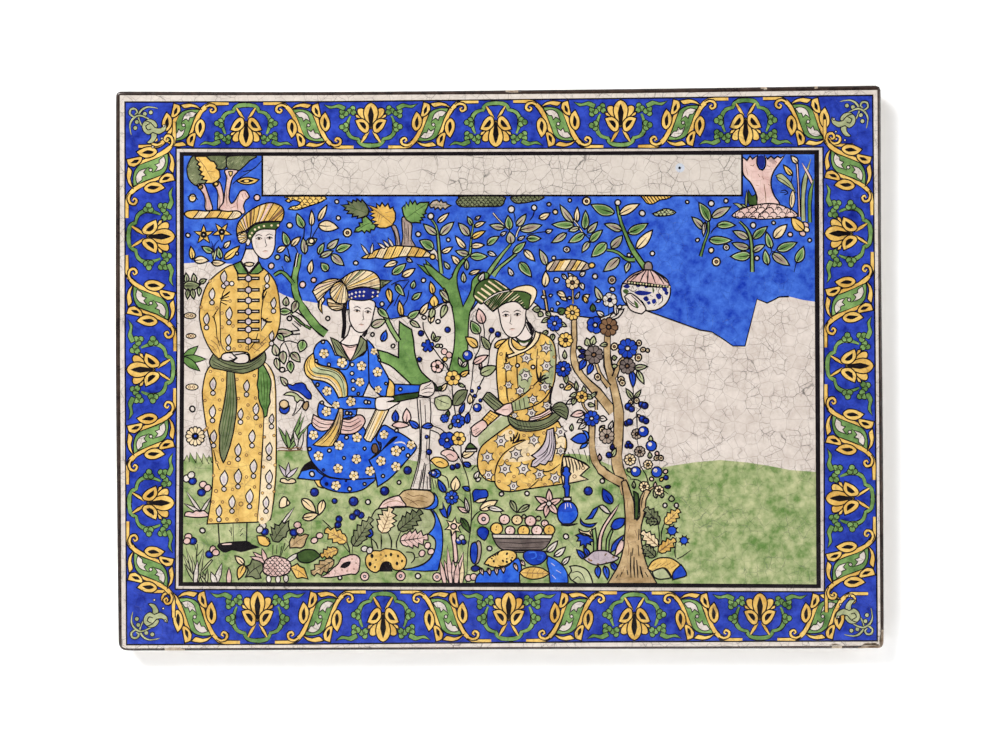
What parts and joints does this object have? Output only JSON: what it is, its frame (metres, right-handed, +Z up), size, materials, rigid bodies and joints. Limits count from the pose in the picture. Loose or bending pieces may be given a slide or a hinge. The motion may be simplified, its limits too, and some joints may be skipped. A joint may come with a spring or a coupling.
{
  "type": "pottery wall tile",
  "caption": "Large rectangular wall tile of glazed fritware, painted with a garden scene in a scrolling floral border; beds flat on its back.",
  "frame": {"origin": "the middle of the flat back, where the tile beds against the wall", "axes": "+X along the tile's width to the viewer's right, +Y out of the back into the wall, so the painted face looks along -Y, +Z up the tile's height"},
  "size_m": [0.5219, 0.024, 0.3841],
  "materials": {
    "painted_glaze": "polychrome painting in cobalt, ochre, green, purple and white with dark outlines, under a clear crackled gloss glaze; bare buff body on the sides and back"
  },
  "bodies": {
    "root": {"tile": "painted_glaze"}
  },
  "joints": []
}
